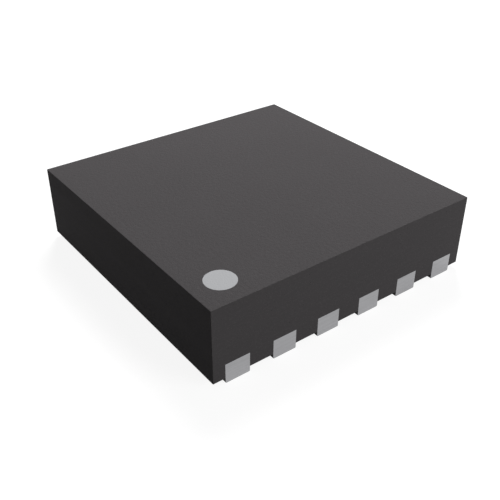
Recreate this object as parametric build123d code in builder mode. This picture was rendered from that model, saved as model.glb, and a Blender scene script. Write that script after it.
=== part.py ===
from build123d import *

import math
import os

# A leadless integrated circuit for surface mounting: a block of moulding compound, sawn out of a
# moulded strip, with twelve leads in two rows, a thermal pad, and a wire-bonded die inside.
# The origin is the centre of the footprint on the board. +X runs along the row of leads 1 to 6,
# +Y runs from that row to the row of leads 7 to 12, and +Z points up from the board.
# All sizes are in millimetres.

# Moulded body
body_width = 3.0
body_height = 0.75
stand_off = 0.05
end_margin = 0.125

# Leads
leads_per_row = 6
lead_pitch = 0.5
lead_width = 0.25
foot_length = 0.4
foot_end_flat = 0.05

# Lead frame: leads and thermal pad are etched out of one strip, to half its depth at the edges
frame_thickness = 0.2
etched_depth = 0.1
anchor_setback = 0.15
anchor_overhang = 0.04

# Thermal pad
pad_gap = 0.3
pad_end_margin = 0.3
pad_rim = 0.1
pad_corner_radius = 0.06
pad_pin_one_chamfer = 0.3

# Die and the epoxy under it
die_side_margin = 0.25
die_end_margin = 0.45
die_thickness = 0.2
bond_line = 0.025
epoxy_spread = 0.06
epoxy_climb = 0.08
epoxy_lip = 0.01

# Bond wires
wire_diameter = 0.025
wire_sides = 8
ball_diameter = 0.07
ball_height = 0.014
shoulder_height = 0.016
ball_inset = 0.08
end_ball_inset = 0.12
loop_height = 0.14
loop_radius = 0.06
loop_facets = 4
stitch_inset = 0.07
stitch_length = 0.05
stitch_width = 0.05
stitch_thickness = 0.006
stitch_angle = 75

# Mark beside lead 1
mark_diameter = 0.29
mark_inset = 0.3
mark_depth = 0.02

# Sizes that follow from those above
body_length = (leads_per_row - 1) * lead_pitch + lead_width + 2 * end_margin
body_top = stand_off + body_height
pad_width = body_width - 2 * (foot_length + pad_gap)
pad_length = body_length - 2 * pad_end_margin
die_width = pad_width - 2 * die_side_margin
die_length = pad_length - 2 * die_end_margin
die_bottom = frame_thickness + bond_line
die_top = die_bottom + die_thickness
ball_pitch = (die_length - 2 * end_ball_inset) / (leads_per_row - 1)
foot_end_radius = (lead_width - foot_end_flat) / 2

os.makedirs("parts", exist_ok=True)
inserts = []


def keep(piece, name):
    """Names and writes a finished piece, and keeps it for the compound to close round."""
    piece.label = name
    export_step(piece, f"parts/{name}.step")
    inserts.append(piece)


def row_place(number):
    """Gives a lead's steps from the middle of its row, and a plane for that row.

    In the plane, x runs along the row as the numbers rise and y runs inward from the row.
    """
    row, step = divmod(number - 1, leads_per_row)
    return step - (leads_per_row - 1) / 2, Plane(Location((0, 0, 0), (0, 0, 180 * row)))


# Leads: a full-thickness foot, flush with the sawn wall, and half-etched wings that anchor it
for number in range(1, 2 * leads_per_row + 1):
    steps, row_plane = row_place(number)
    wall_point = row_plane.from_local_coords(Vector(steps * lead_pitch, -body_width / 2))
    foot_plane = Plane(origin=wall_point, x_dir=row_plane.x_dir)
    with BuildPart() as lead:
        with BuildSketch(foot_plane) as foot:
            Rectangle(lead_width, foot_length, align=(Align.CENTER, Align.MIN))
            fillet(foot.vertices().sort_by(Axis.Y)[2:], foot_end_radius)
        extrude(amount=frame_thickness)
        with BuildSketch(foot_plane.offset(etched_depth)) as wings:
            with Locations((0, anchor_setback)):
                Rectangle(
                    lead_width + 2 * anchor_overhang,
                    foot_length + anchor_overhang - anchor_setback,
                    align=(Align.CENTER, Align.MIN),
                )
            fillet(wings.vertices().sort_by(Axis.Y)[2:], foot_end_radius + anchor_overhang)
        extrude(amount=frame_thickness - etched_depth)
    keep(lead.part, f"lead_{number:02d}")

# Thermal pad: one corner cut off beside lead 1, and a half-etched rim that locks it in
with BuildPart() as thermal_pad:
    with BuildSketch() as exposed_face:
        Rectangle(pad_length, pad_width)
        corners = exposed_face.vertices().sort_by(Axis((0, 0, 0), (1, 1, 0)))
        chamfer(corners[0], pad_pin_one_chamfer)
        fillet(corners[1:], pad_corner_radius)
    extrude(amount=frame_thickness)
    with BuildSketch(Plane.XY.offset(etched_depth)):
        add(exposed_face.sketch)
        offset(amount=pad_rim, kind=Kind.INTERSECTION)
    extrude(amount=frame_thickness - etched_depth)
keep(thermal_pad.part, "thermal_pad")

# Die
with BuildPart() as die:
    with BuildSketch(Plane.XY.offset(die_bottom)):
        Rectangle(die_length, die_width)
    extrude(amount=die_thickness)
keep(die.part, "die")

# Epoxy: a thin bond line under the die, with a fillet that climbs its sides
with BuildPart() as die_attach:
    with BuildSketch(Plane.XY.offset(frame_thickness)):
        Rectangle(die_length + 2 * epoxy_spread, die_width + 2 * epoxy_spread)
    fillet_height = bond_line + epoxy_climb
    extrude(amount=fillet_height, taper=math.degrees(math.atan2(epoxy_spread - epoxy_lip, fillet_height)))
    add(die.part, mode=Mode.SUBTRACT)
keep(die_attach.part, "die_attach")


def loop_points(span):
    """Gives a wire's centre line, as distances out from the ball and heights above the board.

    It rises from the die, turns over on an arc and runs straight down to a stitch at that span.
    """
    arc_height = die_top + loop_height - loop_radius
    fall = arc_height - frame_thickness
    reach = math.hypot(span - loop_radius, fall)
    last_angle = math.acos(loop_radius / reach) - math.atan2(fall, span - loop_radius)
    points = [(0, die_top)]
    for facet in range(loop_facets + 1):
        angle = math.pi + (last_angle - math.pi) * facet / loop_facets
        points.append((loop_radius * (1 + math.cos(angle)), arc_height + loop_radius * math.sin(angle)))
    run_on = wire_diameter / math.tan(math.pi / 2 - last_angle)
    points.append((span + run_on, frame_thickness - wire_diameter))
    return points


# Bond wires: a ball on the die, a loop, and a flattened stitch on the lead
ball_profile = (
    (0, ball_diameter),
    (ball_height, ball_diameter),
    (ball_height + shoulder_height, wire_diameter),
)
facet_turn = 180 / wire_sides
ball_row_y = ball_inset - die_width / 2
stitch_row_y = foot_length - stitch_inset - body_width / 2
for number in range(1, 2 * leads_per_row + 1):
    steps, row_plane = row_place(number)
    ball_point = row_plane.from_local_coords(Vector(steps * ball_pitch, ball_row_y))
    stitch_point = row_plane.from_local_coords(Vector(steps * lead_pitch, stitch_row_y))
    outward = stitch_point - ball_point
    ball_plane = Plane(origin=ball_point, x_dir=outward).offset(die_top)
    stitch_plane = Plane(origin=stitch_point, x_dir=outward).offset(frame_thickness)
    loop_plane = Plane(origin=ball_point, x_dir=outward, z_dir=outward.cross(Vector(0, 0, 1)))
    with BuildPart() as bond_wire:
        with BuildLine(loop_plane) as centre_line:
            Polyline(*loop_points(outward.length))
        with BuildSketch(ball_plane):
            RegularPolygon(wire_diameter / 2, wire_sides, rotation=facet_turn)
        sweep(path=centre_line.line, transition=Transition.RIGHT)
        for height, diameter in ball_profile:
            with BuildSketch(ball_plane.offset(height)):
                RegularPolygon(diameter / 2, wire_sides, rotation=facet_turn)
        loft(ruled=True)
        split(bisect_by=Plane.XY.offset(frame_thickness), keep=Keep.TOP)
        with BuildSketch(stitch_plane):
            with Locations((stitch_length / 2, 0)):
                Trapezoid(stitch_width, stitch_length, stitch_angle, rotation=90)
        extrude(amount=stitch_thickness)
    keep(bond_wire.part, f"bond_wire_{number:02d}")

# Mark: a disc of ink in a shallow seat
with BuildPart() as pin_one_mark:
    with BuildSketch(Plane.XY.offset(body_top)):
        with Locations((mark_inset - body_length / 2, mark_inset - body_width / 2)):
            Circle(mark_diameter / 2)
    extrude(amount=-mark_depth)
keep(pin_one_mark.part, "pin_one_mark")

# Mould body: the sawn block, cast round everything that it holds
with BuildPart() as mould_body:
    with BuildSketch(Plane.XY.offset(stand_off)):
        Rectangle(body_length, body_width)
    extrude(amount=body_height)
    for insert in inserts:
        add(insert, mode=Mode.SUBTRACT)
mould_body.part.label = "mould_body"
export_step(mould_body.part, "parts/mould_body.step")
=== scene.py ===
# %% [markdown]
# # A leadless integrated circuit, three millimetres square
#
# The object is a block of black moulding compound, sawn out of a moulded strip. The ends of its
# metal leads show flush in two of its walls, and a chip and its gold wires are locked inside. The
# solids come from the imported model. This lesson gives them their edges, their finishes, a camera
# and a light.
#
# Blender counts in metres, but a size such as 0.009 mm is easier to judge in millimetres. So sizes
# are named in millimetres and multiplied by `MM` where Blender takes them. The box that the solids
# fill is measured before anything is added, for the comparison at the end.

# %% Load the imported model
import math

import bmesh
import bpy
from mathutils import Matrix, Vector, noise


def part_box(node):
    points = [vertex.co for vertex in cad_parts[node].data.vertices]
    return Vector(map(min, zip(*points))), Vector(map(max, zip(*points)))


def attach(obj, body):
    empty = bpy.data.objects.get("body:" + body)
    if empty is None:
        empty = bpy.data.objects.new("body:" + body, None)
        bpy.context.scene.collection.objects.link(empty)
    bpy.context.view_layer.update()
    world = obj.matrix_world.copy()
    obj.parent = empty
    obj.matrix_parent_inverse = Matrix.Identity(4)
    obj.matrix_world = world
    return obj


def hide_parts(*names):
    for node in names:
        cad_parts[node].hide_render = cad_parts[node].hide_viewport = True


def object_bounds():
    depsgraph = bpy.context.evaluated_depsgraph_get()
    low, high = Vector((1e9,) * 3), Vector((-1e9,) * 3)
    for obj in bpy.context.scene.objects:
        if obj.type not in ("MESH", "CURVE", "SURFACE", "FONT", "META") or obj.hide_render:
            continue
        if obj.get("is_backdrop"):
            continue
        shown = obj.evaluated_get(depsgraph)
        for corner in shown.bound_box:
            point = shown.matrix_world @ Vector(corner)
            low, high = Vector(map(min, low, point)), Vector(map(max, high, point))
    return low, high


MM = 0.001
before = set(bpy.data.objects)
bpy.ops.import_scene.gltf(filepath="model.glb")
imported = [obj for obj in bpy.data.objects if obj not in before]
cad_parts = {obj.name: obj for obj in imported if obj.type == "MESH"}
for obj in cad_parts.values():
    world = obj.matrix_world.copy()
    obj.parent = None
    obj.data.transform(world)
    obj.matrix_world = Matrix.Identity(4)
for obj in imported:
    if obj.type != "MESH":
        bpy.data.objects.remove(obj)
cad_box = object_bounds()
print("solids:", len(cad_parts), "box in mm:", [round(x / MM, 3) for x in cad_box[1] - cad_box[0]])

# %% [markdown]
# ## The camera
#
# At this size a normal lens stands only a few millimetres away, so the nearer edges look much
# longer than the far ones. The camera could be given a location and three rotations. An azimuth, an
# elevation and a distance from the centre of the footprint say the same in the way a photographer
# would, and they are easier to correct one at a time. Blender's near clipping distance is 0.1 m by
# default, far behind this part, so it has to come down.

# %% Set up the camera
CAMERA_AZIMUTH = math.radians(-36.87)
CAMERA_ELEVATION = math.radians(32.86)
CAMERA_DISTANCE_MM = 7.725
LENS_MM = 52.57
NEAREST_SEEN_MM = 0.1
FARTHEST_SEEN_MM = 1000


def toward(azimuth, elevation):
    """The direction of a point seen from the origin: azimuth 0 is -Y, and azimuth 90 is +X."""
    level = math.cos(elevation)
    return Vector((math.sin(azimuth) * level, -math.cos(azimuth) * level, math.sin(elevation)))


camera = bpy.data.objects.new("camera", bpy.data.cameras.new("camera"))
bpy.context.scene.collection.objects.link(camera)
camera.location = toward(CAMERA_AZIMUTH, CAMERA_ELEVATION) * CAMERA_DISTANCE_MM * MM
camera.rotation_euler = (-camera.location).to_track_quat("-Z", "Y").to_euler()
camera.data.lens = LENS_MM
camera.data.clip_start = NEAREST_SEEN_MM * MM
camera.data.clip_end = FARTHEST_SEEN_MM * MM
bpy.context.scene.camera = camera
bpy.context.scene.view_settings.view_transform = "Standard"
print("camera at, in mm:", [round(x / MM, 3) for x in camera.location])

# %% [markdown]
# ## Sums with shader sockets
#
# A finish is mostly arithmetic: a grain here, plus a scratch there, times how strong each is. Laid
# out by hand as nodes that is hard to read. `Signal` wraps a socket and lets plus, minus and times
# add the Math nodes, so that a finish is written, and read, as a formula.

# %% A value that varies over the surface
class Signal:
    """A value that varies over the surface. Each operator on it adds a Math node."""

    def __init__(self, finish, socket):
        self.finish = finish
        self.socket = socket

    def __add__(self, other):
        return self.finish.math("ADD", self, other)

    def __radd__(self, other):
        return self.finish.math("ADD", other, self)

    def __sub__(self, other):
        return self.finish.math("SUBTRACT", self, other)

    def __rsub__(self, other):
        return self.finish.math("SUBTRACT", other, self)

    def __mul__(self, other):
        return self.finish.math("MULTIPLY", self, other)

    def __rmul__(self, other):
        return self.finish.math("MULTIPLY", other, self)

    def __mod__(self, other):
        return self.finish.math("FLOORED_MODULO", self, other)

    def __abs__(self):
        return self.finish.math("ABSOLUTE", self)

    def over(self, limit, softness):
        """Rises from 0 to 1 as the signal passes a limit, over a stretch of that softness."""
        settings = {"interpolation_type": "SMOOTHSTEP"}
        sockets = {"Value": self, "From Min": limit - softness / 2, "From Max": limit + softness / 2}
        return self.finish.add("ShaderNodeMapRange", settings, sockets)


print("a signal can be added, subtracted, multiplied, wrapped round, made positive and cut off")

# %% [markdown]
# ## A finish
#
# `Finish` is one material, or the world. Its `add` method makes any node: it sets the node's own
# settings first, then fills its sockets with numbers or with signals. The place on the part is
# turned into millimetres once, because a grain is easier to judge as so many to the millimetre. It
# is the object's own place, and so a pattern stays put when the camera or the part moves.

# %% One material, or the world
class Finish:
    """One material or world, made of nodes."""

    def __init__(self, name, library=bpy.data.materials):
        self.block = library.new(name)
        self.block.use_nodes = True
        self.tree = self.block.node_tree
        self.tree.nodes.clear()

    def add(self, kind, settings, sockets, output=0):
        """Adds a node, sets it up, fills its sockets, and gives one of its outputs as a signal."""
        node = self.tree.nodes.new(kind)
        for name, value in settings.items():
            setattr(node, name, value)
        for name, value in sockets.items():
            if isinstance(value, Signal):
                self.tree.links.new(value.socket, node.inputs[name])
            else:
                node.inputs[name].default_value = value
        return Signal(self, node.outputs[output]) if node.outputs else None

    def math(self, operation, *values):
        return self.add("ShaderNodeMath", {"operation": operation}, dict(enumerate(values)))

    def place(self):
        """The place on the part, in millimetres."""
        metres = self.add("ShaderNodeTexCoord", {}, {}, "Object")
        return self.add("ShaderNodeVectorMath", {"operation": "MULTIPLY"}, {0: metres, 1: (1 / MM,) * 3})

    def surface(self, sockets):
        """Feeds the Principled shader, closes the material and gives it back."""
        shader = self.add("ShaderNodeBsdfPrincipled", {}, sockets)
        self.add("ShaderNodeOutputMaterial", {}, {"Surface": shader})
        return self.block


print("materials before the first finish:", len(bpy.data.materials))

# %% [markdown]
# ## White air
#
# The part stands in white air, which lights it evenly from all sides. At full strength that light
# would wash out every difference between the walls. So the air is dim as a lamp, and white only for
# rays that show it: straight into the camera, off a glossy face, or through a clear material. The
# Light Path node tells these rays apart.

# %% Make the air
AMBIENT = 0.12


def largest(first, *others):
    """The largest of some signals at each point."""
    for other in others:
        first = first.finish.math("MAXIMUM", first, other)
    return first


def is_looked_at(finish):
    """1 for a ray that shows the background: from the camera, a reflection or a clear material."""
    kinds = ("Is Camera Ray", "Is Glossy Ray", "Is Transmission Ray")
    return largest(*(finish.add("ShaderNodeLightPath", {}, {}, kind) for kind in kinds))


air = Finish("white_air", bpy.data.worlds)
air_glow = AMBIENT + (1 - AMBIENT) * is_looked_at(air)
backdrop = air.add("ShaderNodeBackground", {}, {"Color": (1, 1, 1, 1), "Strength": air_glow})
air.add("ShaderNodeOutputWorld", {}, {"Surface": backdrop})
bpy.context.scene.world = air.block
print("air lights the part at", AMBIENT, "and shows as 1")

# %% [markdown]
# ## Lumps and shades
#
# Nearly every surface here is grainy, from paper to plating. A picture of a grain would have to be
# unwrapped on to each face. Noise is a cloud of soft lumps that fills space, so it runs round every
# corner by itself. Its values lie about 0.5, and a sum of them makes a plain colour lighter and
# darker. A value whose name ends in `PER_MM` says how fine a pattern is, as so many lumps, lines or
# grains to the millimetre.
#
# Colours are multiplied by a Mix node, because a Math node would turn them grey. That node has
# sockets for each kind of data, and its colours have the numbers below.

# %% Write the grain and the shade
MIX_SHARE, MIX_FIRST, MIX_SECOND, MIX_RESULT = 0, 6, 7, 2


def lumps(place, per_mm, detail=2.0):
    """A soft irregular cloud about 0.5, with finer lumps in it for each further step of detail."""
    sockets = {"Vector": place, "Scale": per_mm, "Detail": detail}
    return place.finish.add("ShaderNodeTexNoise", {}, sockets, "Fac")


def multiplied(first, second):
    """The product of a colour and a signal, which may be a colour or an amount."""
    settings = {"data_type": "RGBA", "blend_type": "MULTIPLY"}
    sockets = {MIX_SHARE: 1.0, MIX_FIRST: first, MIX_SECOND: second}
    return second.finish.add("ShaderNodeMix", settings, sockets, MIX_RESULT)


def shaded(colour, amount):
    """A plain colour made lighter or darker by an amount that is about 1."""
    return multiplied((*colour, 1.0), amount)


print("the mix node takes its colours at sockets", MIX_FIRST, "and", MIX_SECOND)

# %% [markdown]
# ## White paper
#
# The floor is a sheet of matt paper with faint fibres. It takes the part's shadow as any surface
# does, and a glow that only the looking rays see brings it up to the white of the air. Far out,
# where the lamps don't reach, it glows a little more, or it would end in a grey band. Seen from
# below it is clear, so that the underside of the part can be looked at.

# %% Write the paper
PAPER_COLOUR = 0.25
PAPER_GLOW = 0.885
FIBRES_PER_MM = 3
FAR_OUT_MM = 10.0
FADE_MM = 10.0

paper = Finish("white_paper")
on_paper = paper.place()
fibres = lumps(on_paper, FIBRES_PER_MM, detail=4.0)
how_far = paper.add("ShaderNodeVectorMath", {"operation": "LENGTH"}, {0: on_paper}, "Value")
paper_glow = PAPER_GLOW + (1 - PAPER_GLOW) * how_far.over(FAR_OUT_MM, FADE_MM)
upper_side = paper.add("ShaderNodeBsdfPrincipled", {}, {
    "Base Color": shaded((PAPER_COLOUR,) * 3, 0.98 + 0.04 * fibres),
    "Roughness": 0.9,
    "Specular IOR Level": 0.0,
    "Emission Color": shaded((1, 1, 1), paper_glow * is_looked_at(paper)),
    "Emission Strength": 1.0,
})
from_below = paper.add("ShaderNodeNewGeometry", {}, {}, "Backfacing")
clear = paper.add("ShaderNodeBsdfTransparent", {}, {})
one_sided = paper.add("ShaderNodeMixShader", {}, {0: from_below, 1: upper_side, 2: clear})
paper.add("ShaderNodeOutputMaterial", {}, {"Surface": one_sided})
print("paper nodes:", len(paper.tree.nodes))

# %% [markdown]
# ## Lay the floor
#
# One square face is enough for a flat sheet. It is far wider than the view, so that its edge never
# shows, and it is marked as stage, because it isn't part of the object.

# %% Lay the paper
FLOOR_SIDE_MM = 400

floor_mesh = bpy.data.meshes.new("floor")
paper_sheet = bmesh.new()
bmesh.ops.create_grid(paper_sheet, x_segments=1, y_segments=1, size=FLOOR_SIDE_MM / 2 * MM)
paper_sheet.to_mesh(floor_mesh)
paper_sheet.free()
floor_mesh.materials.append(paper.block)
floor = bpy.data.objects.new("floor", floor_mesh)
bpy.context.scene.collection.objects.link(floor)
floor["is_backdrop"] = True
print("floor side in mm:", FLOOR_SIDE_MM)

# %% [markdown]
# ## The lamps
#
# Three soft boxes light the part. One hangs high behind its far corner, so the top gets brighter
# towards the back. One stands low in front on the right, for the wall with the leads. A weak one on
# the left keeps the dark wall from going flat. They stand close, a few body lengths away, because
# only a near lamp gives a slope of light over three millimetres. They are kept out of reflections,
# where the white air already stands in for them: a metal that mirrored both would burn out.

# %% Hang the soft boxes
AIM_MM = Vector((0, 0, 0.4))
MILLIWATT = 0.001


def soft_box(name, place_mm, side_mm, power_mw):
    """A square lamp that faces the middle of the part."""
    data = bpy.data.lights.new(name, "AREA")
    data.size = side_mm * MM
    data.energy = power_mw * MILLIWATT
    lamp = bpy.data.objects.new(name, data)
    lamp.location = Vector(place_mm) * MM
    lamp.rotation_euler = (AIM_MM - Vector(place_mm)).to_track_quat("-Z", "Y").to_euler()
    lamp.visible_glossy = False
    bpy.context.scene.collection.objects.link(lamp)


soft_box("key_box", place_mm=(7, 8.5, 13.5), side_mm=8, power_mw=3.1)
soft_box("front_box", place_mm=(9, -18, 4.5), side_mm=12, power_mw=3.37)
soft_box("left_box", place_mm=(-9, 7, 2.3), side_mm=4, power_mw=0.105)

# %% [markdown]
# ## Whole faces from loose triangles
#
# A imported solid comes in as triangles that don't share their corners. Edges can only be rounded
# between faces that do, and on a flat wall only the wall's own outline should count as an edge. So
# `welded` merges the corners of a copy, and `skin_of` also joins the triangles of each flat face
# into one. The copy is worked on in millimetres, because Blender's tools treat lengths near a
# micrometre in metres as nothing.

# %% Helpers for copying a solid
WELD_MM = 0.0001
FLAT = math.radians(1)


def welded(node):
    """A copy of a node in millimetres, whose triangles share their corners."""
    skin = bmesh.new()
    skin.from_mesh(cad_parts[node].data)
    skin.transform(Matrix.Scale(1 / MM, 4))
    bmesh.ops.remove_doubles(skin, verts=skin.verts, dist=WELD_MM)
    return skin


def skin_of(node):
    """A welded copy with whole flat faces."""
    skin = welded(node)
    bmesh.ops.dissolve_limit(skin, angle_limit=FLAT, verts=skin.verts, edges=skin.edges)
    return skin


trial = skin_of("mould_body")
print("block: triangles", len(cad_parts["mould_body"].data.polygons), "whole faces", len(trial.faces))
trial.free()

# %% [markdown]
# ## Rounded edges
#
# No real edge is perfectly sharp, and a moulded edge, a sawn one and an etched one are rounded by
# different amounts. A Bevel modifier picks its edges by angle or by a stored weight. `soften` picks
# them by a test instead, which says in words which edges are meant. Only outward edges are taken: an
# inward one, such as the bottom of a recess, has no material to lose.

# %% Helper for rounding edges
SHARP = math.radians(30)


def soften(skin, width_mm, picked, segments=3):
    """Bevels the outward edges that pass the test, and counts them."""
    edges = [edge for edge in skin.edges if edge.calc_face_angle_signed(0) > SHARP and picked(edge)]
    bmesh.ops.bevel(skin, geom=edges, offset=width_mm, segments=segments, profile=0.5, affect="EDGES")
    return len(edges)


print("edges count as sharp above, in degrees:", round(math.degrees(SHARP)))

# %% [markdown]
# ## Even normals
#
# A normal says which way a point of the skin faces, and so how light falls there. Smooth shading
# gives each corner the mean of its faces, and beside a narrow bevel that tilts the rim of a large
# flat face, which then looks domed. If each face counts by its area, the large face decides: it
# stays flat, and only the bevel looks round. The Weighted Normal modifier does the same on larger
# things, but has no effect on faces as small as these, so the means are worked out here.

# %% Helper for even normals
SHARPEST_CURVE = math.radians(40)


def even_normals(skin):
    """A normal for each face corner: the mean of the faces on the same curve, weighted by area."""
    normals = []
    for face in skin.faces:
        for corner in face.loops:
            around = corner.vert.link_faces
            curve = [near for near in around if face.normal.angle(near.normal) < SHARPEST_CURVE]
            total = sum((near.normal * near.calc_area() for near in curve), Vector())
            normals.append(total.normalized())
    return normals


print("faces share a curve below, in degrees:", round(math.degrees(SHARPEST_CURVE)))

# %% [markdown]
# ## Dress a solid
#
# A finished skin becomes an object that rides on the part's one body and stands for its node, which is
# hidden. A piece may have several finishes. Painting them by hand would have to be done again after each
# change, so a choice function names the finish of each face from where the face is and which way it looks.
# A bevel is a few narrow strips between a level face and a wall, and `LEVEL` says how far up or down a
# strip must look to belong to the level face.

# %% Helpers for making a piece
LEVEL = 0.4


def looks_up(face):
    return face.normal.z > LEVEL


def looks_down(face):
    return face.normal.z < -LEVEL


def dressed(skin, name, node, finishes, choose=lambda face: 0):
    """Makes the object that stands for a node. The choice gives each face's place in the finishes."""
    skin.normal_update()
    for face in skin.faces:
        face.material_index = choose(face)
        face.smooth = True
    normals = even_normals(skin)
    skin.transform(Matrix.Scale(MM, 4))
    mesh = bpy.data.meshes.new(name)
    skin.to_mesh(mesh)
    skin.free()
    for finish in finishes:
        mesh.materials.append(finish)
    mesh.set_sharp_from_angle(angle=SHARPEST_CURVE)
    mesh.normals_split_custom_set(normals)
    piece = bpy.data.objects.new(name, mesh)
    bpy.context.scene.collection.objects.link(piece)
    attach(piece, "root")
    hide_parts(node)
    return piece


print("a strip is level where its normal has more than", LEVEL, "of its length upright")

# %% [markdown]
# ## The moulded skin
#
# The body is black epoxy, more than three quarters filled with tiny glass balls. Its skin copies
# the tool: the top has the even matt grain of a spark-eroded cavity, and the underside lay on smooth
# tape, into which the metal sank a little. The grain could be modelled, but it would take millions
# of faces. Noise at the size of the real grain costs next to nothing: it feeds the colour, the
# roughness and a bump. The numbers in the sums are shares, which say how much each pattern counts.
# The real skin has next to no shine, so its specular level is low.

# %% Write the moulded finishes
COMPOUND_TINT = (1.032, 0.972, 1.0)
CRATERS_PER_MM = 30
GRIT_PER_MM = 95
FLOW_PER_MM = 1.3
GLASS_PER_MM = 70
GLASS_SHOWS_OVER = 0.66
GLASS_EDGE = 0.05


def tinted(tone, tint):
    """A grey of some tone that leans to a tint, which is given as shares of red, green and blue."""
    return [tone * share for share in tint]


def bump(height, depth_mm):
    """A normal for a height from 0 to 1 that stands for so many millimetres."""
    sockets = {"Height": height, "Distance": depth_mm * MM}
    return height.finish.add("ShaderNodeBump", {}, sockets, "Normal")


def moulded_finish(name, tone, relief_mm, roughness):
    """A skin that copies the mould: craters, grit, faint flow clouds and pale glass balls."""
    finish = Finish(name)
    here = finish.place()
    craters = lumps(here, CRATERS_PER_MM, detail=3.0)
    grit = lumps(here, GRIT_PER_MM)
    flow = lumps(here, FLOW_PER_MM, detail=3.0)
    glass = lumps(here, GLASS_PER_MM, detail=1.0).over(GLASS_SHOWS_OVER, GLASS_EDGE)
    relief = 0.6 * craters + 0.4 * grit
    light = 0.69 + 0.2 * craters + 0.3 * grit + 0.08 * flow + 0.15 * glass
    return finish.surface({
        "Base Color": shaded(tinted(tone, COMPOUND_TINT), light),
        "Roughness": roughness + 0.3 * (relief - 0.5),
        "Specular IOR Level": 0.08,
        "Normal": bump(relief, relief_mm),
    })


moulded_top = moulded_finish("moulded_top", tone=0.0775, relief_mm=0.0075, roughness=0.85)
moulded_base = moulded_finish("moulded_base", tone=0.07, relief_mm=0.003, roughness=0.6)
print("moulded finishes:", moulded_top.name, moulded_base.name)

# %% [markdown]
# ## The sawn skin
#
# The four walls are sawn. A diamond blade leaves long flat arcs there, cuts most of the glass balls
# through and tears a few out, so the walls are speckled. The torn-out pits are painted darker: painted
# shade in the holes. The walls' tone is also set darker than the top's, which is in part painted shade.
# The arcs are noise that is stretched along the cut and bent by the blade's radius. A ball could be noise
# above a limit too, but that gives winding tracks. A cell texture splits space into grains that each have
# a middle, so a ball is whatever lies near enough to it. Each cell draws numbers of its own: one is the
# ball's size, in cells, and another decides whether it was torn out.

# %% Write the sawn finish
BLADE_RADIUS_MM = 28.0
MARKS_ALONG_PER_MM = 0.5
MARKS_ACROSS_PER_MM = 70
CUT_BALLS_PER_MM = 75
LARGEST_BALL = 0.55
BALL_EDGE = 0.06
TORN_OUT_OVER = 0.86
TORN_OUT_EDGE = 0.02


def axis(place, name):
    """One coordinate of a place: X, Y or Z."""
    return place.finish.add("ShaderNodeSeparateXYZ", {}, {0: place}, name)


def from_middle(place, per_mm, feature="F1"):
    """How far a point is from the middle of its cell, in cells."""
    sockets = {"Vector": place, "Scale": per_mm}
    return place.finish.add("ShaderNodeTexVoronoi", {"feature": feature}, sockets, "Distance")


def cell_draw(place, per_mm, channel="Red"):
    """A number from 0 to 1 that each cell draws for itself, out of the three in its random colour."""
    colour = place.finish.add("ShaderNodeTexVoronoi", {}, {"Vector": place, "Scale": per_mm}, "Color")
    return place.finish.add("ShaderNodeSeparateColor", {}, {0: colour}, channel)


def sawn_finish(name, tone):
    """A wall cut by the blade, whose marks run along the wall and rise a little to its ends."""
    finish = Finish(name)
    here = finish.place()
    x, y, z = (axis(here, letter) for letter in "XYZ")
    on_arc = {
        "X": x * MARKS_ALONG_PER_MM,
        "Y": y * MARKS_ALONG_PER_MM,
        "Z": (z + (x * x + y * y) * (0.5 / BLADE_RADIUS_MM)) * MARKS_ACROSS_PER_MM,
    }
    marks = lumps(finish.add("ShaderNodeCombineXYZ", {}, on_arc), 1.0, detail=3.0)
    ball_size = cell_draw(here, CUT_BALLS_PER_MM) * LARGEST_BALL
    torn_out = cell_draw(here, CUT_BALLS_PER_MM, "Green").over(TORN_OUT_OVER, TORN_OUT_EDGE)
    balls = (ball_size - from_middle(here, CUT_BALLS_PER_MM)).over(BALL_EDGE, BALL_EDGE)
    cut_balls = balls * (1 - torn_out)
    pits = balls * torn_out
    # Cut balls show pale glass. The torn-out pits are painted darker: painted shade in the holes.
    light = 0.91 + 0.14 * marks + 0.13 * cut_balls - 0.3 * pits
    return finish.surface({
        "Base Color": shaded(tinted(tone, COMPOUND_TINT), light),
        "Roughness": 0.62 + 0.3 * marks - 0.1 * cut_balls,
        "Specular IOR Level": 0.02,
        "Normal": bump(marks - pits, depth_mm=0.0015),
    })


# This tone is darker than the moulded top's, and in part it is painted shade on the walls.
sawn_wall = sawn_finish("sawn_wall", tone=0.058)
print("sawn finish:", sawn_wall.name)

# %% [markdown]
# ## The moulded block
#
# Its twelve outer edges are crisp, because the saw made them all. A bevel of a few micrometres is
# enough to catch light. The recesses that hold the metal keep their edges, so that the metal still
# fills them without a gap. The outer edges and faces could be listed by number, but numbers change
# with the model. They are told from those of the recesses by how many of the block's six outer
# planes they lie on. The leads interrupt two of the twelve edges, so more are counted below.

# %% Dress the block
SAWN_EDGE_MM = 0.006
TOUCH_MM = 0.001
MOULDED_TOP, SAWN_WALL, MOULDED_BASE = range(3)


def box_mm(node):
    """A node's lowest and highest corners, in millimetres."""
    return [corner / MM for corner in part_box(node)]


lowest, highest = box_mm("mould_body")


def planes_near(point, distance_mm):
    """How many of the block's outer planes lie within a distance of a point."""
    gaps = [abs(point[i] - corner[i]) for corner in (lowest, highest) for i in range(3)]
    return sum(gap < distance_mm for gap in gaps)


def is_outer_edge(edge):
    return all(planes_near(corner.co, TOUCH_MM) >= 2 for corner in edge.verts)


def block_face_finish(face):
    """The saw made the outer walls, and the mould the rest."""
    is_level = looks_up(face) or looks_down(face)
    if planes_near(face.calc_center_median(), SAWN_EDGE_MM) and not is_level:
        return SAWN_WALL
    return MOULDED_TOP if face.normal.z > 0 else MOULDED_BASE


block_skin = skin_of("mould_body")
softened = soften(block_skin, SAWN_EDGE_MM, is_outer_edge)
block_finishes = [moulded_top, sawn_wall, moulded_base]
block = dressed(
    block_skin, "moulded_block", "mould_body", block_finishes, block_face_finish
)
print("block: softened edges", softened, "faces", len(block.data.polygons))

# %% [markdown]
# ## Plating
#
# Leads and pad are etched from one sheet of copper alloy. What shows underneath is tin, plated
# matt, and what faces the wires is a finer bond plating. Both are dense skins of grains a few
# micrometres wide. A cell texture has just that look: each grain draws its own grey, and 1 minus
# the distance to its middle makes it a small dome, with a fine valley round it.

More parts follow.
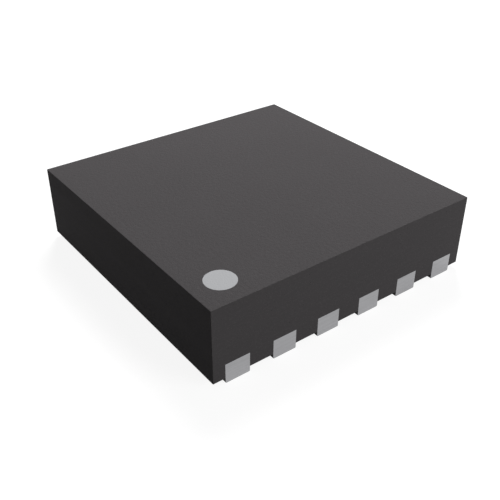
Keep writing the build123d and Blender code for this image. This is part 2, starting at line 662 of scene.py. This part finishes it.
# %% Write the platings
TIN_TINT = (1, 1.01, 1.03)
SOFT_CLOUDS_PER_MM = 6


def plated_finish(name, tone, grains_per_mm):
    """Matt plating: grains of slightly different grey, with fine valleys between them."""
    finish = Finish(name)
    here = finish.place()
    grain_tone = cell_draw(here, grains_per_mm)
    domes = 1 - from_middle(here, grains_per_mm, "SMOOTH_F1")
    clouds = lumps(here, SOFT_CLOUDS_PER_MM, detail=3.0)
    return finish.surface({
        "Base Color": shaded(tinted(tone, TIN_TINT), 0.8 + 0.12 * grain_tone + 0.28 * clouds),
        "Metallic": 1.0,
        "Roughness": 0.35 + 0.1 * grain_tone + 0.2 * clouds,
        "Normal": bump(domes, depth_mm=0.002),
    })


matt_tin = plated_finish("matt_tin", tone=0.62, grains_per_mm=150)
bond_plating = plated_finish("bond_plating", tone=0.8, grains_per_mm=260)
print("platings:", matt_tin.name, bond_plating.name)

# %% [markdown]
# ## Sawn metal
#
# The lead ends in the wall are cut after plating, so they are bare and show the blade's fine drag
# lines. A wave would give lines at even steps. Noise with few lumps along the wall and many up and
# down it gives lines as uneven as a blade's.

# %% Write the sawn metal
BARE_TINT = (1, 1, 1.03)
DRAG_LINES_PER_MM = (2, 2, 75)
SMEARS_PER_MM = 9


def drawn_out(place, per_mm):
    """Lumps with a count for each axis, so that they become lines along the axes of the low counts."""
    stretched = place.finish.add("ShaderNodeVectorMath", {"operation": "MULTIPLY"}, {0: place, 1: per_mm})
    return lumps(stretched, 1.0, detail=3.0)


def sawn_metal_finish(name, tone):
    """A cut end: drag lines along the wall, over faint smears."""
    finish = Finish(name)
    here = finish.place()
    lines = drawn_out(here, DRAG_LINES_PER_MM)
    smears = lumps(here, SMEARS_PER_MM)
    return finish.surface({
        "Base Color": shaded(tinted(tone, BARE_TINT), 0.76 + 0.4 * lines + 0.08 * smears),
        "Metallic": 1.0,
        "Roughness": 0.35 + 0.2 * lines,
        "Normal": bump(lines, depth_mm=0.0012),
    })


sawn_metal = sawn_metal_finish("sawn_metal", tone=0.347)
print("sawn metal:", sawn_metal.name)

# %% [markdown]
# ## Etched copper
#
# The etched sides are bare. Where the compound covers them they are brown copper with shallow scallops. In
# the gap under it they are painted near black and not metallic: painted shade under the compound. Two
# materials would need an edge loop at the height where the painted shade starts. One material that mixes
# the two by height needs none.

# %% Write the etched copper
SCALLOPS_PER_MM = 35
TARNISH_PER_MM = 7
PAINTED_SHADE_EDGE_MM = 0.004


def mixed(share, first, second):
    """A colour on the way from the first to the second, as far as the share says."""
    sockets = {MIX_SHARE: share, MIX_FIRST: first, MIX_SECOND: second}
    return share.finish.add("ShaderNodeMix", {"data_type": "RGBA"}, sockets, MIX_RESULT)


def etched_finish(name, painted_shade_colour, bare):
    """Etched copper, bare inside the compound, and painted near black below it: painted shade in the gap.
    """
    finish = Finish(name)
    here = finish.place()
    scallops = lumps(here, SCALLOPS_PER_MM)
    tarnish = lumps(here, TARNISH_PER_MM, detail=3.0)
    # Below this height the copper is painted near black and not metallic: painted shade in the gap under
    # the compound.
    inside = axis(here, "Z").over(lowest.z + PAINTED_SHADE_EDGE_MM, PAINTED_SHADE_EDGE_MM)
    brown = shaded(bare, 0.5 + 0.6 * tarnish + 0.4 * scallops)
    return finish.surface({
        "Base Color": mixed(inside, (*painted_shade_colour, 1.0), brown),
        "Metallic": inside * 0.8,
        "Roughness": 0.45 + 0.3 * scallops,
        "Specular IOR Level": 0.1,
        "Normal": bump(scallops, depth_mm=0.004),
    })


# The first colour, near black, is painted shade for the gap under the compound.
etched_copper_and_painted_shade = etched_finish("etched_copper_and_painted_shade", painted_shade_colour=(0.013, 0.012, 0.0115), bare=(0.5, 0.25, 0.15))
print("etched copper:", etched_copper_and_painted_shade.name)

# %% [markdown]
# ## Twelve leads and the thermal pad
#
# The bottom edges of the feet and of the pad were rounded by the etch and again by the plating, so
# they get a wider bevel than the block's sawn edges. The edges in the sawn wall stay sharp. Where
# the foot's outline meets the wall the bevel simply runs out, as the real rounding does at the cut.
# The undersides of the half-etched wings and rim are never plated, so they stay copper.

# %% Dress the leads and the pad
ETCHED_EDGE_MM = 0.009
TIN, SAWN_METAL, BOND_PLATING, ETCHED_COPPER_AND_SHADE = range(4)


def nodes_named(start):
    """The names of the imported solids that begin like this, in order."""
    return sorted(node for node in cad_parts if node.startswith(start))


def in_sawn_wall(point):
    """Whether a point lies in one of the two walls in which the leads end."""
    return abs(point.y) > highest.y - TOUCH_MM


def is_bottom_edge(edge):
    """An edge of the face that stands on the board, unless it lies in the sawn wall."""
    points = [corner.co for corner in edge.verts]
    return all(point.z < TOUCH_MM for point in points) and not all(in_sawn_wall(point) for point in points)


def metal_face_finish(face):
    """Plating above and below, and what the saw and the etch left bare."""
    middle = face.calc_center_median()
    if looks_up(face):
        return BOND_PLATING
    if looks_down(face) and middle.z < lowest.z:
        return TIN
    return SAWN_METAL if in_sawn_wall(middle) else ETCHED_COPPER_AND_SHADE


metal_finishes = [matt_tin, sawn_metal, bond_plating, etched_copper_and_painted_shade]
for node in [*nodes_named("lead_"), "thermal_pad"]:
    metal_skin = skin_of(node)
    softened = soften(metal_skin, ETCHED_EDGE_MM, is_bottom_edge)
    metal = dressed(metal_skin, f"plated_{node}", node, metal_finishes, metal_face_finish)
    print(metal.name, "softened edges", softened, "faces", len(metal.data.polygons))

# %% [markdown]
# ## The mark beside lead 1
#
# A disc of pale ink in a shallow seat shows which corner is the first lead's. Ink that is pressed
# on to a grainy surface is never solid: it thins over the peaks and pools a little at the rim. The
# colour is mottled with noise about as fine as the grain, and the rim is rounded by a small bevel.

# %% Ink the mark
INK_TINT = (1, 1.01, 1.04)
INK_GRAIN_PER_MM = 80
INK_MOTTLE_PER_MM = 20
INK_EDGE_MM = 0.003


def ink_finish(name, tone):
    """Matt pale ink, mottled by the grain under it."""
    finish = Finish(name)
    here = finish.place()
    grain = lumps(here, INK_GRAIN_PER_MM)
    mottle = lumps(here, INK_MOTTLE_PER_MM)
    return finish.surface({
        "Base Color": shaded(tinted(tone, INK_TINT), 0.92 + 0.12 * grain + 0.03 * mottle),
        "Roughness": 0.6 + 0.2 * grain,
        "Specular IOR Level": 0.2,
        "Normal": bump(grain, depth_mm=0.002),
    })


def is_top_edge(edge):
    return all(corner.co.z > highest.z - TOUCH_MM for corner in edge.verts)


mark_skin = skin_of("pin_one_mark")
softened = soften(mark_skin, INK_EDGE_MM, is_top_edge)
mark = dressed(mark_skin, "ink_mark", "pin_one_mark", [ink_finish("pale_ink", tone=0.467)])
print("mark: softened edges", softened, "faces", len(mark.data.polygons))

# %% [markdown]
# ## Circuitry
#
# Nothing shows the die in a finished part, but whoever opens the model should find a real one. Its
# face has blocks of circuitry under glass, each a slightly different tint, with groups and fine rows
# of cells in them. All of it is far thinner than a wire, so it is painted and not modelled. Brick
# patterns at three sizes are multiplied, because a real layout is rectangles in rectangles too. Only
# the blocks have a colour. The tints of the groups and of the rows lie about 1, and make it stronger
# or weaker.

# %% Write the rows of cells
def bricks(place, scale, row_height, first, second, gap):
    """Rows of rectangles in two tints, narrower in every other row. Its unit is 1 mm over the scale."""
    settings = {"offset": 0.37, "squash": 0.6, "squash_frequency": 2}
    sockets = {"Vector": place, "Scale": scale, "Row Height": row_height, "Mortar Size": 0.01}
    sockets |= {"Color1": (*first, 1), "Color2": (*second, 1), "Mortar": (*gap, 1)}
    return place.finish.add("ShaderNodeTexBrick", settings, sockets, "Color")


BLOCKS = {
    "scale": 4.3, "row_height": 0.62,
    "first": (0.03, 0.05, 0.1), "second": (0.1, 0.06, 0.11), "gap": (0.02, 0.02, 0.03),
}
GROUPS = {
    "scale": 15, "row_height": 0.35,
    "first": (0.7, 0.9, 0.8), "second": (1.2, 1.0, 1.1), "gap": (0.5, 0.5, 0.6),
}
ROWS = {
    "scale": 60, "row_height": 0.25,
    "first": (0.8, 0.8, 0.8), "second": (1.1, 1.1, 1.1), "gap": (1.5, 1.5, 1.5),
}


def circuitry(place):
    """Blocks, the groups in them, and the rows of cells in those."""
    blocks, groups, rows = (bricks(place, **pattern) for pattern in (BLOCKS, GROUPS, ROWS))
    return multiplied(multiplied(blocks, groups), rows)


print("a row of cells is high, in mm:", round(ROWS["row_height"] / ROWS["scale"], 4))

# %% [markdown]
# ## Bond pads and the guard ring
#
# A bright aluminium pad lies under each ball, and a thin ring runs round the edge of the die to stop
# cracks. Their places come from the wires themselves: the corners of a wire that lie on the die's
# face are the foot of its ball. The pads repeat at even steps, so one formula draws them all: the
# rest of a division by the step is the place within one step.

# %% Write the face of the die
PAD_REACH_MM = 0.043
RING_FROM_EDGE_MM = (0.018, 0.028)
METAL_EDGE_MM = 0.004
HAZE_PER_MM = 20
ALUMINIUM = (0.75, 0.75, 0.76, 1)
wire_nodes = nodes_named("bond_wire_")
die_low, die_high = box_mm("die")


def ball_middle(node):
    """The middle of a wire's ball, where it sits on the die, in millimetres."""
    points = [corner.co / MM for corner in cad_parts[node].data.vertices]
    foot = [point for point in points if abs(point.z - die_high.z) < TOUCH_MM]
    spans = [sorted(point[i] for point in foot) for i in range(3)]
    return Vector((span[0] + span[-1]) / 2 for span in spans)


def pads_and_ring(place, first_ball, step):
    """1 on the bond pads and on the ring, and 0 between them. All four quarters of the die are alike."""
    x, y = (abs(axis(place, letter)) for letter in "XY")
    from_column = abs(x % step - step / 2)
    from_row = abs(y - abs(first_ball.y))
    past_last_pad = abs(first_ball.x) + step / 3
    in_row = 1 - x.over(past_last_pad, METAL_EDGE_MM)
    pads = in_row * (1 - largest(from_column, from_row).over(PAD_REACH_MM, METAL_EDGE_MM))
    to_edge = place.finish.math("MINIMUM", die_high.x - x, die_high.y - y)
    outer, inner = (to_edge.over(distance, METAL_EDGE_MM) for distance in RING_FROM_EDGE_MM)
    return largest(pads, outer - inner)


def circuit_finish(name, first_ball, step):
    """Circuitry under hazy glass, with bright metal let into it."""
    finish = Finish(name)
    here = finish.place()
    metal = pads_and_ring(here, first_ball, step)
    haze = lumps(here, HAZE_PER_MM)
    return finish.surface({
        "Base Color": mixed(metal, circuitry(here), ALUMINIUM),
        "Metallic": 0.55 + 0.45 * metal,
        "Roughness": 0.12 + 0.15 * haze + 0.1 * metal,
    })


first_ball, second_ball = (ball_middle(node) for node in wire_nodes[:2])
ball_step = (second_ball - first_ball).length
circuit_face = circuit_finish("circuit_face", first_ball, ball_step)
print("balls are apart by, in mm:", round(ball_step, 3))

# %% [markdown]
# ## The die
#
# The die is sawn out of a wafer of silicon, so its sides have the same kind of drag lines as the
# metal, only finer and glassier, and the same helper draws them. Its edges are sharp to the eye.

# %% Dress the die
SILICON_GREY = (0.2, 0.2, 0.22)
DICING_LINES_PER_MM = (3, 3, 90)
DIE_EDGE_MM = 0.003
CIRCUIT_FACE, DICED_SIDE = range(2)


def diced_finish(name):
    """The sawn side of the silicon, and its ground back."""
    finish = Finish(name)
    lines = drawn_out(finish.place(), DICING_LINES_PER_MM)
    return finish.surface({
        "Base Color": shaded(SILICON_GREY, 0.6 + 0.8 * lines),
        "Metallic": 0.8,
        "Roughness": 0.3 + 0.3 * lines,
        "Normal": bump(lines, depth_mm=0.002),
    })


def die_face_finish(face):
    return CIRCUIT_FACE if looks_up(face) else DICED_SIDE


die_skin = skin_of("die")
softened = soften(die_skin, DIE_EDGE_MM, lambda edge: True)
die_finishes = [circuit_face, diced_finish("diced_silicon")]
dressed(die_skin, "silicon_die", "die", die_finishes, die_face_finish)
print("die in mm:", [round(side, 3) for side in die_high - die_low], "softened edges", softened)

# %% [markdown]
# ## Silver epoxy
#
# The paste that holds the die is epoxy full of silver flakes. It is grey and half metallic, with
# soft lumps, and a flake glints where it lies flat. The distance to the middle of a cell makes a
# small cone in each cell, which as a bump tilts the light a different way on each side of it.

# %% Write the epoxy
SILVER_GREY = (0.5, 0.49, 0.47)
FLAKES_PER_MM = 110
PASTE_LUMPS_PER_MM = 12


def silver_epoxy_finish(name):
    """Grey paste with bright flakes."""
    finish = Finish(name)
    here = finish.place()
    flakes = from_middle(here, FLAKES_PER_MM)
    paste = lumps(here, PASTE_LUMPS_PER_MM, detail=3.0)
    return finish.surface({
        "Base Color": shaded(SILVER_GREY, 0.6 + 0.5 * flakes + 0.3 * paste),
        "Metallic": 0.5,
        "Roughness": 0.35 + 0.3 * paste,
        "Normal": bump(paste + flakes * 0.3, depth_mm=0.006),
    })


silver_epoxy = silver_epoxy_finish("silver_epoxy")
print("epoxy:", silver_epoxy.name)

# %% [markdown]
# ## The epoxy fillet
#
# The die was pressed into a dot of paste, which was squeezed out and climbed its sides before it
# cured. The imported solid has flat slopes. A Displace modifier would move its seat on the pad too.
# Here the corners between the slopes are rounded and all faces are cut into small ones. Then each
# corner on a slope is pushed out or in by a few micrometres of noise, most of all half way up, so
# that the paste looks slumped. The upright part of a normal tells a slope from a wall, where it is
# under `STEEPEST`, and from a level face, where it is over `FLATTEST`. The line to which the paste
# climbed wanders up and down the same way. The order in which Blender lists the small faces can
# change from run to run, so they are sorted after the cut, and each run gives the same model.

# %% Dress the epoxy
EPOXY_CORNER_MM = 0.03
CORNER_STRIPS = 4
SLOPE_CUTS = 7
STEEPEST, FLATTEST = 0.1, 0.8
SLUMP_MM = 0.012
SLUMPS_PER_MM = 7.0
CLIMB_MM = 0.02
pad_top, lip_top = (corner.z for corner in box_mm("die_attach"))


def is_slanted(edge):
    """An edge between two slopes: it rises most of the way, outside the die."""
    first, second = (corner.co for corner in edge.verts)
    rise = abs(first.z - second.z)
    return rise > (lip_top - pad_top) / 2 and min(abs(first.x), abs(second.x)) > die_high.x


def sort_faces(skin):
    """Puts the faces in the order of their corners."""
    skin.verts.index_update()
    in_order = sorted(skin.faces, key=lambda face: sorted(corner.index for corner in face.verts))
    for number, face in enumerate(in_order):
        face.index = number
    skin.faces.sort()


def slump(skin):
    """Makes the slopes and the upper rim uneven, and leaves the seat as it is."""
    skin.normal_update()
    for corner in skin.verts:
        height = (corner.co.z - pad_top) / (lip_top - pad_top)
        lump = noise.noise(corner.co * SLUMPS_PER_MM)
        if STEEPEST < corner.normal.z < FLATTEST:
            corner.co += corner.normal * SLUMP_MM * lump * math.sin(math.pi * height)
        if corner.co.z > die_low.z + TOUCH_MM:
            corner.co.z += CLIMB_MM * lump * height


epoxy_skin = skin_of("die_attach")
soften(epoxy_skin, EPOXY_CORNER_MM, is_slanted, segments=CORNER_STRIPS)
bmesh.ops.subdivide_edges(epoxy_skin, edges=epoxy_skin.edges, cuts=SLOPE_CUTS, use_grid_fill=True)
sort_faces(epoxy_skin)
slump(epoxy_skin)
epoxy = dressed(epoxy_skin, "epoxy_fillet", "die_attach", [silver_epoxy])
print("epoxy faces:", len(epoxy.data.polygons))

# %% [markdown]
# ## Gold wire
#
# The wire is drawn through a hole and annealed, so it has a soft shine that is never quite even.
# The colour of gold is a plain colour, a little lighter and darker along the wire. What makes it
# look drawn is the roughness, which changes with the same lumps, and a faint bump.

# %% Write the gold
GOLD = (0.9, 0.68, 0.28)
DRAWN_LUMPS_PER_MM = 60


def gold_finish(name):
    """Drawn wire: a soft shine with fine unevenness."""
    finish = Finish(name)
    drawn = lumps(finish.place(), DRAWN_LUMPS_PER_MM)
    return finish.surface({
        "Base Color": shaded(GOLD, 0.85 + 0.3 * drawn),
        "Metallic": 1.0,
        "Roughness": 0.12 + 0.25 * drawn,
        "Normal": bump(drawn, depth_mm=0.0012),
    })


gold = gold_finish("drawn_gold")
print("wire:", gold.name)

# %% [markdown]
# ## Twelve bond wires
#
# Each wire is a fortieth of a millimetre thick: a ball squashed on to the die, a loop, and a stitch
# pressed flat on the lead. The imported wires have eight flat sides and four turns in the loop. A new
# tube could be swept along a curve, but its ball and stitch would have to be joined on. A subdivision
# surface rounds what is there. It works best on four-sided faces, so the triangles are first paired
# into those, each one length of wire long. Rounding also shrinks an eight-sided tube, so the skin
# is swelled before it. Corners that look down keep their height, or the ball and the stitch would
# sink into what they are bonded to.

# %% Dress the wires
SWELL_MM = 0.0012
UNDERSIDE = -0.5
ROUNDING_LEVELS = 2


def swell(skin, by_mm):
    """Moves the skin outward. Its underside gets wider, but stays at its height."""
    skin.normal_update()
    for corner in skin.verts:
        height = corner.co.z
        corner.co += corner.normal * by_mm
        if corner.normal.z < UNDERSIDE:
            corner.co.z = height


for node in wire_nodes:
    wire_skin = welded(node)
    bmesh.ops.join_triangles(
        wire_skin, faces=wire_skin.faces, angle_face_threshold=FLAT, angle_shape_threshold=math.pi
    )
    swell(wire_skin, SWELL_MM)
    wire = dressed(wire_skin, f"gold_{node}", node, [gold])
    rounding = wire.modifiers.new("rounding", "SUBSURF")
    rounding.levels = rounding.render_levels = ROUNDING_LEVELS
print("wires:", len(wire_nodes), "faces each before rounding:", len(wire.data.polygons))

# %% [markdown]
# ## Compare the boxes
#
# The dressed part must fill the same box as the solids. How far each of the two corners moved is printed,
# in millimetres.

# %% Measure how far the box moved
dressed_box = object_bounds()
moves = [(new - old).length / MM for new, old in zip(dressed_box, cad_box)]
print("corners moved by, in mm:", [round(move, 6) for move in moves])
